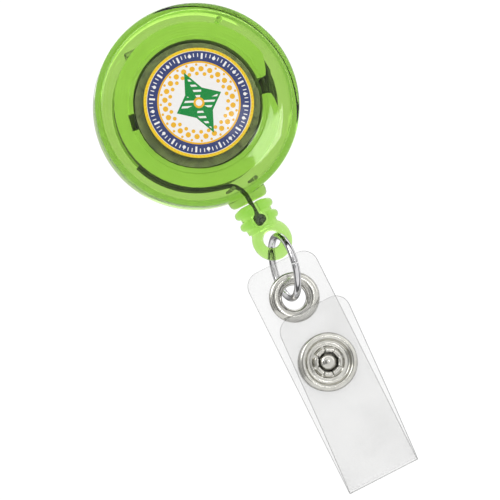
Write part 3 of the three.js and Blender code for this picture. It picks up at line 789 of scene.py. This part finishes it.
CORD_RADIUS = 0.37
WINDING_LAYERS = ((11.34, -1.98, 1.98, 5.6), (12.02, 1.98, -1.98, 5.4), (12.48, -1.9, 1.6, 4.0))


def winding():
    """The cord in its layers of turns on the drum."""
    line, turned_by = [], 0.0
    for radius, from_y, to_y, turns in WINDING_LAYERS:
        steps = int(turns * 40)
        for i in range(steps):
            angle = 2 * math.pi * (turned_by + turns * i / steps)
            y = from_y + (to_y - from_y) * i / steps
            line.append((radius * math.cos(angle), y, radius * math.sin(angle)))
        turned_by += turns
    return tube("wound_cord", line, CORD_RADIUS * 0.97)


kept(smooth(winding(), 60), "spool", "dark_cord", CORD, stands_for=["cord_coil"])

RUN_RADIUS = 13.28
run_turns = [math.radians(degrees) for degrees in range(-160, -103, 8)]
off_coil = [(RUN_RADIUS * math.cos(a), 0, RUN_RADIUS * math.sin(a)) for a in run_turns]
to_bore = [(-2, 0, -13.2), (-0.87, 0, -13.47), (-0.08, 0, -14.02), (0.45, 0, -14.85), (0.83, 0, -15.6),
           (CHAIN_X, 0, -16.08)]
run = tube("cord_over_pin", curved(off_coil + to_bore, 4), CORD_RADIUS)
kept(smooth(run, 60), "case", "dark_cord", CORD, stands_for=["cord_run"])

KNOT_Y, KNOT_Z = -1.0, -20.25
lead_top = Vector((CHAIN_X, 0, -16.1))
lead_end = Vector((CHAIN_X, KNOT_Y + 0.2, KNOT_Z + 0.75))
lead = tube("cord_lead_line", [lead_top.lerp(lead_end, i / 24) for i in range(25)], CORD_RADIUS)
kept(smooth(lead, 60), None, "dark_cord", CORD, stands_for=["cord_lead"])
tuple(place(*lead_top))
tuple(place(*lead_end))
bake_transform(lead)


def knot():
    """The cord's end tied in a tight round knot."""
    line = []
    for i in range(72):
        t = 2 * math.pi * i / 72
        spread = 0.44 + 0.24 * math.cos(3 * t)
        line.append((CHAIN_X + spread * math.cos(2 * t), KNOT_Y + 0.34 * math.sin(3 * t),
                     KNOT_Z + spread * math.sin(2 * t)))
    return tube("tied_knot", line, CORD_RADIUS, closed=True, sides=4)


kept(smooth(knot(), 60), "cord_end", "dark_cord", CORD, stands_for=["cord_knot"])

# ---- End fitting ----------------------------------------------------------------------------

EYE_X, EYE_Z = CHAIN_X + 0.45, -23.9
EGG_Z, SHOULDER_Z = -23.95, -22.1
RIB_HEIGHTS, RIB_RADIUS, RIB_ROOT, NECK_RADIUS = (-18.4, -20.35), 0.72, 2.55, 2.5
FITTING_GRAIN = 0.075


def fitting():
    """Two round ribs on a neck, over an egg-shaped eye with a flared hole, and a slot for the cord."""
    ribs = []
    for z in RIB_HEIGHTS:
        rounded = [(NECK_RADIUS + c, z + s) for c, s in arc((0, 0), RIB_RADIUS, 80, -80, 10)]
        ribs += [(RIB_ROOT, z + 0.78), *rounded, (RIB_ROOT, z - 0.78)]
    outline = [(0, -17.45), (1.95, -17.45), (2.15, -17.6), *ribs, (NECK_RADIUS, -21.9), (0, -21.9)]
    neck = turned("neck", outline, (CHAIN_X, 0, 0), Z, 48)
    bpy.ops.object.select_all(action="DESELECT")
    bpy.ops.mesh.primitive_uv_sphere_add(
        segments=48, ring_count=32, radius=MM, location=place(EYE_X, 0, EGG_Z), scale=(3.15, 1.75, 3.3),
    )
    egg = settled(started("egg"))
    bpy.ops.object.select_all(action="DESELECT")
    bpy.ops.mesh.primitive_cylinder_add(
        vertices=48, radius=2.35 * MM, depth=3 * MM, location=place(CHAIN_X + 0.15, 0, SHOULDER_Z),
        scale=(1, 0.75, 1),
    )
    shoulder = settled(started("shoulder"))
    whole = fused(fused(egg, shoulder), neck)
    flare = [(0, -3), (2.4, -3), (2.1, -1.6), (1.7, -1.05), (1.45, -0.5), (1.35, 0), (1.45, 0.5), (1.7, 1.05),
             (2.1, 1.6), (2.4, 3), (0, 3)]
    cut(whole, turned("hole", flare, (EYE_X, 0, EYE_Z), Y, 48))
    cut(whole, block("slot", (CHAIN_X - 0.5, -6, KNOT_Z), (CHAIN_X + 0.5, 0.2, -10)))
    cut(whole, rod("pocket", CHAIN_X, KNOT_Z, 1.2, -6, 0.11, 32))
    changed(whole, "REMESH", mode="VOXEL", voxel_size=FITTING_GRAIN * MM)
    changed(whole, "SMOOTH", factor=0.5, iterations=5)
    whole.name = whole.data.name = "ribbed_end_fitting"
    return whole


kept(smooth(fitting(), 60), "cord_end", "lime_fitting", FITTING_LIME, stands_for=["end_fitting"])

# ---- Link ring ------------------------------------------------------------------------------

RING_RADIUS, RING_WIRE = 5.0, 0.55
RING_CENTRE = (CHAIN_X + 0.1, -1.2, -28.65)
RING_TURN, RING_SLANT, RING_CUT = 11.5, 11.5, 1.5


def link():
    """A turn of round wire whose cut ends all but meet at the front, their rims broken."""
    line = []
    steps = 96
    for i in range(steps + 1):
        angle = math.radians(180 + RING_CUT / 2 + (360 - RING_CUT) * i / steps)
        line.append(Vector((0, RING_RADIUS * math.cos(angle), RING_RADIUS * math.sin(angle))))
    turn_z = Matrix.Rotation(math.radians(RING_TURN), 3, "Z")
    turn_y = Matrix.Rotation(math.radians(RING_SLANT), 3, "Y")
    centre = Vector(RING_CENTRE)
    ring = tube("cut_link_ring", [turn_y @ (turn_z @ p) + centre for p in line], RING_WIRE, sides=7)
    return broken_edges(ring, 0.08, 60, 3)


kept(smooth(link(), 50), "link", "ring_chrome", CHROME, stands_for=["link_ring"])

# ---- Strap ----------------------------------------------------------------------------------

STRAP_WIDTH, STRAP_THICKNESS = 12.0, 0.35
STRAP_TOP, FOLD_Z, FLAP_TOP, FLAP_LEAN = -27.45, -64.4, -36.0, 1.25
EYELET_Z, SNAP_Z = -33.55, -44.9
FLAP_Y = -1.35
STRAP_CORNER, EYELET_HOLE, STUD_HOLE, SOCKET_HOLE = 2.4, 2.34, 0.86, 2.11


def strap():
    """One strip of vinyl, folded up in front at the bottom, its four free corners rounded."""
    down = [(STRAP_X, 0, z) for z in (STRAP_TOP, -31, -35, -40, -46, -52, -57, -61, -63, -63.8, FOLD_Z)]
    fold = [(STRAP_X, y, z) for y, z in arc((-0.275, FOLD_Z), 0.275, 0, -180, 12)[1:]]
    rise = [(-0.55, -63.8), (-0.57, -63), (-0.66, -61.2), (-0.86, -58.5), (-1.1, -56), (-1.28, -54)]
    rise += [(FLAP_Y, z) for z in (-52, -48, -44, -40, FLAP_TOP)]
    up = [(STRAP_X + FLAP_LEAN * (z + 65.4) / (FLAP_TOP + 65.4), y, z) for y, z in rise]
    piece = band("clear_strap", down + fold + up, STRAP_WIDTH)
    piece.data.materials.append(VINYL)
    piece.data.materials.append(VINYL_PAINTED_EDGE_SHADE)
    half = STRAP_WIDTH / 2
    corners = [(STRAP_X + s * half, 0, STRAP_TOP) for s in (-1, 1)]
    corners += [(STRAP_X + FLAP_LEAN + s * half, FLAP_Y, FLAP_TOP) for s in (-1, 1)]
    round_corners(piece, corners, STRAP_CORNER)
    # the rims and bevel faces take the second material, the painted edge shade
    changed(piece, "SOLIDIFY", thickness=STRAP_THICKNESS * MM, offset=0, material_offset_rim=1)
    cut(piece, rod("eyelet_hole", STRAP_X, EYELET_Z, EYELET_HOLE, -0.9, 0.9, 48))
    cut(piece, rod("stud_hole", STRAP_X, SNAP_Z, STUD_HOLE, -0.6, 0.6, 24))
    cut(piece, rod("socket_hole", STRAP_X, SNAP_Z, SOCKET_HOLE, -1.9, -0.8, 48))
    return broken_edges(piece, 0.16, 60, material=1)


vinyl_strap = strap()
kept(smooth(vinyl_strap, 40), None, "clear_vinyl", stands_for=["strap_back", "strap_flap"])
bend_start, bend_end = place(STRAP_X, -0.178, FOLD_Z), place(STRAP_X, -0.372, FOLD_Z)
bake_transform(vinyl_strap)

# ---- Eyelet ---------------------------------------------------------------------------------


def rounded_turning(name, section, centre, steps=96, edge=0.05, close=True):
    """A turned piece whose rims are broken by a small bevel."""
    profile = [*section, section[0]] if close else section
    piece = turned(name, profile, centre, Y, steps)
    return smooth(broken_edges(piece, edge, 40), 50)


EYELET_CENTRE = (STRAP_X, 0, EYELET_Z)
EYELET_FACE = -0.215
eyelet_profile = [(r, EYELET_FACE - out) for r, out in (
    (3.66, 0), (3.9, 0.06), (3.99, 0.18), (3.98, 0.34), (3.85, 0.52), (3.6, 0.66), (3.3, 0.745), (2.95, 0.76),
    (2.6, 0.7), (2.32, 0.55), (2.12, 0.4), (1.98, 0.15),
)] + [
    (1.92, 0.0), (1.9, 0.25), (1.98, 0.48), (2.12, 0.66), (2.34, 0.81), (2.56, 0.86), (2.78, 0.83),
    (2.9, 0.73), (2.92, 0.67), (2.3, 0.665), (2.3, EYELET_FACE),
]
eyelet = rounded_turning("rolled_eyelet", eyelet_profile, EYELET_CENTRE)
kept(eyelet, "strap", "warm_nickel", NICKEL, stands_for=["eyelet"])

# ---- Snap -----------------------------------------------------------------------------------

SNAP_CENTRE = (STRAP_X, 0, SNAP_Z)
SNAP_FACE = -1.565
PRONGS = 8


def raised(section):
    """A section whose heights are counted out from the snap's face."""
    return [(r, SNAP_FACE - out) for r, out in section]


def snap_socket():
    """A raised rim round a dished floor, with a ring of prongs curled out over it."""
    rim = raised([
        (4.4, 0), (4.56, 0.08), (4.62, 0.24), (4.62, 0.52), (4.55, 0.76), (4.38, 0.94), (4.1, 1.04),
        (3.86, 1.03), (3.66, 0.92), (3.54, 0.74), (3.46, 0.5), (3.3, 0.36), (3.0, 0.3), (2.85, 0.34),
        (2.7, 0.42), (2.56, 0.42), (2.44, 0.3), (1.95, 0.3), (1.74, 0.34),
    ]) + [(1.72, -1.135), (2.05, -1.135), (2.05, SNAP_FACE)]
    parts = [rounded_turning("snap_rim", rim, SNAP_CENTRE)]
    lip = raised([
        (1.73, 0.32), (1.56, 0.5), (1.56, 0.74), (1.68, 0.89), (1.9, 0.95), (2.12, 0.89), (2.27, 0.74),
        (2.3, 0.56), (2.19, 0.54), (2.1, 0.68), (1.92, 0.76), (1.76, 0.68), (1.74, 0.54), (1.84, 0.31),
    ])
    prong = turned("prong", [*lip, lip[0]], SNAP_CENTRE, Y, 10, 37.0)
    smooth(broken_edges(prong, 0.05, 45), 60)
    for i in range(PRONGS):
        spare = copied(prong, f"prong_{i}")
        alone(spare)
        bpy.ops.object.mode_set(mode="EDIT")
        bpy.ops.mesh.select_all(action="SELECT")
        uneven = 3 * math.sin(5 * i)
        bpy.ops.transform.rotate(value=math.radians(360 * i / PRONGS + uneven), orient_axis="Y",
                                 center_override=place(*SNAP_CENTRE))
        bpy.ops.object.mode_set(mode="OBJECT")
        parts.append(spare)
    bpy.data.objects.remove(prong)
    return joined(parts, "pronged_snap_socket")


kept(snap_socket(), "flap", "warm_nickel", NICKEL, stands_for=["snap_socket"])

STUD_TIP = FLAP_Y - STRAP_THICKNESS / 2 - 1
stud_profile = [
    (0, -0.215), (3.9, -0.215), (4.0, -0.36), (3.8, -0.615), (1.62, -0.635), (1.46, -0.75), (1.36, -1.2),
    (1.36, -1.6), (1.34, -1.85),
] + [(r, STUD_TIP + back) for r, back in (
    (1.24, 0.46), (1.06, 0.27), (0.82, 0.13), (0.54, 0.04), (0.27, 0.01), (0, 0),
)]
stud = rounded_turning("domed_snap_stud", stud_profile, SNAP_CENTRE, close=False)
kept(stud, "strap", "warm_nickel", NICKEL, stands_for=["snap_stud"])

cap_profile = [
    (0, -0.175), (0.8, -0.175), (0.8, 0.215), (4.3, 0.215), (4.5, 0.3), (4.52, 0.42), (4.42, 0.62),
    (4.1, 0.8), (3.5, 0.95), (2.6, 1.06), (1.4, 1.13), (0, 1.16),
]
cap = rounded_turning("domed_snap_cap", cap_profile, SNAP_CENTRE, close=False)
kept(cap, "strap", "warm_nickel", NICKEL, stands_for=["snap_cap"])

# ---- Belt clip ------------------------------------------------------------------------------

CLIP_WIDTH, CLIP_THICKNESS = 11.0, 0.5
BEND_Y, BEND_Z, BEND_RADIUS = 7.14, 11.0, 1.85
CLIP_END, TONGUE_END = -8.5, -11.8
CLIP_CORNER, TONGUE_CORNER = 2.0, 3.2


def belt_clip():
    """A strip of spring steel bent over at the top, its tongue dipped to grip and flared at the tip."""
    base = [(0, BEND_Y - BEND_RADIUS, z) for z in (CLIP_END, -4, 0, 4, 8, 10)]
    bend = [(0, y, z) for y, z in arc((BEND_Y, BEND_Z), BEND_RADIUS, 180, 0, 20)]
    back = BEND_Y + BEND_RADIUS
    drop = [(back + out, z) for out, z in (
        (0, 9), (0, 4), (0, 0), (0, -4), (-0.12, -5), (-0.45, -6.3), (-0.75, -7.3), (-0.87, -8.3),
        (-0.75, -9.1), (-0.3, -10), (0.25, -11), (0.6, TONGUE_END),
    )]
    piece = band("bent_belt_clip", base + bend + [(0, y, z) for y, z in drop], CLIP_WIDTH)
    half = CLIP_WIDTH / 2
    round_corners(piece, [(s * half, base[0][1], CLIP_END) for s in (-1, 1)], CLIP_CORNER)
    round_corners(piece, [(s * half, drop[-1][0], TONGUE_END) for s in (-1, 1)], TONGUE_CORNER)
    changed(piece, "SOLIDIFY", thickness=CLIP_THICKNESS * MM, offset=0)
    cut(piece, rod("rivet_hole", 0, 0, 1.08, 4.5, 6.2, 32))
    return broken_edges(piece, 0.1, 50)


clip = belt_clip()
kept(smooth(clip, 40), None, "clip_steel", CLIP_METAL, stands_for=["clip_base", "clip_tongue"])
bend_start, bend_end = place(0, BEND_Y - 1.06, BEND_Z), place(0, BEND_Y + 0.9, BEND_Z)
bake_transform(clip)

rivet_profile = [
    (0, 2.9), (0.8, 2.9), (1.0, 3.1), (1.0, 5.58), (2.05, 5.58), (2.1, 5.66), (2.0, 5.82), (1.7, 5.97),
    (1.1, 6.06), (0, 6.08),
]
rivet = rounded_turning("domed_rivet", rivet_profile, (0, 0, 0), 48, close=False)
kept(rivet, "case", "clip_steel", CLIP_METAL, stands_for=["clip_rivet"])

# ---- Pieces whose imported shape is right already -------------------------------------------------

for name, finish in (
    ("spool", SPOOL_LIME),
    ("guide_pin_left", PIN_METAL),
    ("guide_pin_right", PIN_METAL),
    ("eyelet_washer", NICKEL),
    ("snap_backing", NICKEL),
):
    for material_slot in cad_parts[name].material_slots:
        material_slot.material = finish
